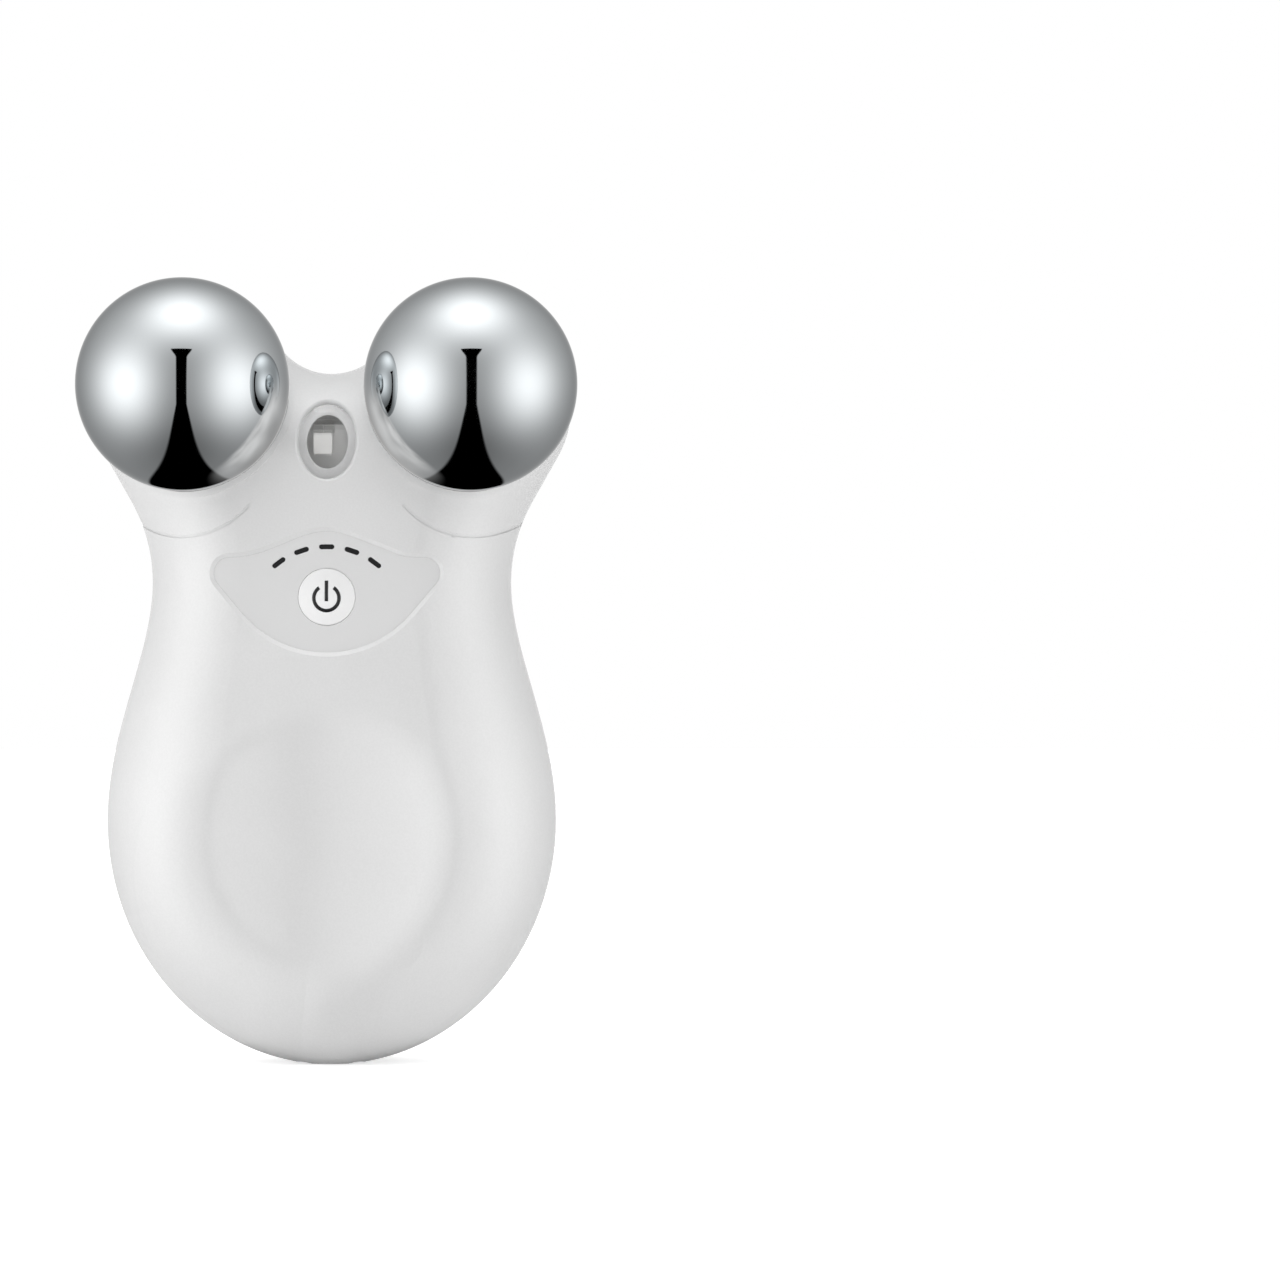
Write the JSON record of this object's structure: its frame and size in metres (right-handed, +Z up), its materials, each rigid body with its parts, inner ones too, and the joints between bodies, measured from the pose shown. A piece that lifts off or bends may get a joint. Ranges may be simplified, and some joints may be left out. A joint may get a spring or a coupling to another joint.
{
  "type": "face massager",
  "caption": "Handheld face massager: pebble body with a forked head that carries chrome ball electrodes, a light window, a power button and a metal contact plate on its back.",
  "frame": {"origin": "middle of the hand grip: on the plane where the two shells meet, level with the widest part of the body", "axes": "+Z up along the length to the balls, the front with balls and button faces -Y, +X to the right seen from the front"},
  "size_m": [0.0634, 0.041, 0.1],
  "materials": {
    "white_shell": "satin",
    "ball_chrome": "polished",
    "plate_chrome": "polished",
    "panel_plastic": "satin",
    "button_plastic": "satin",
    "dark_lens": "gloss",
    "clear_window": "gloss",
    "light_board_grey": "satin",
    "led_package": "satin",
    "board_green": "satin",
    "black_part": "matte",
    "resistor_grey": "matte",
    "capacitor_tan": "satin",
    "screw_steel": "satin",
    "socket_steel": "satin",
    "contact_brass": "polished",
    "battery_foil": "satin",
    "foam_tape": "matte",
    "lead_insulation": "satin"
  },
  "bodies": {
    "housing": {"front_shell": "white_shell", "rear_shell": "white_shell", "left_ball": "ball_chrome", "right_ball": "ball_chrome", "ball_screws": "screw_steel", "ball_terminals": "contact_brass", "ball_leads": "lead_insulation", "control_panel": "panel_plastic", "light_pipe": "dark_lens", "switch_body": "black_part", "light_window": "clear_window", "light_board": "light_board_grey", "light_chip": "led_package", "light_resistors": "resistor_grey", "light_leads": "lead_insulation", "main_board": "board_green", "indicator_leds": "led_package", "controller_chip": "black_part", "boost_coil": "black_part", "board_capacitors": "capacitor_tan", "board_screws": "screw_steel", "charging_socket": "socket_steel", "socket_tongue": "black_part", "battery": "battery_foil", "battery_tape": "foam_tape", "battery_leads": "lead_insulation", "contact_plate": "plate_chrome", "plate_adhesive": "foam_tape", "plate_contact_pin": "contact_brass", "housing_screws": "screw_steel"},
    "button": {"power_button": "button_plastic", "switch_plunger": "black_part"}
  },
  "joints": [
    {"name": "power_button_press", "type": "slide", "parent": "housing", "child": "button", "axis": [0, 1, 0], "range_m": [0, 0.00035], "stiffness_N_per_m": 4000}
  ]
}
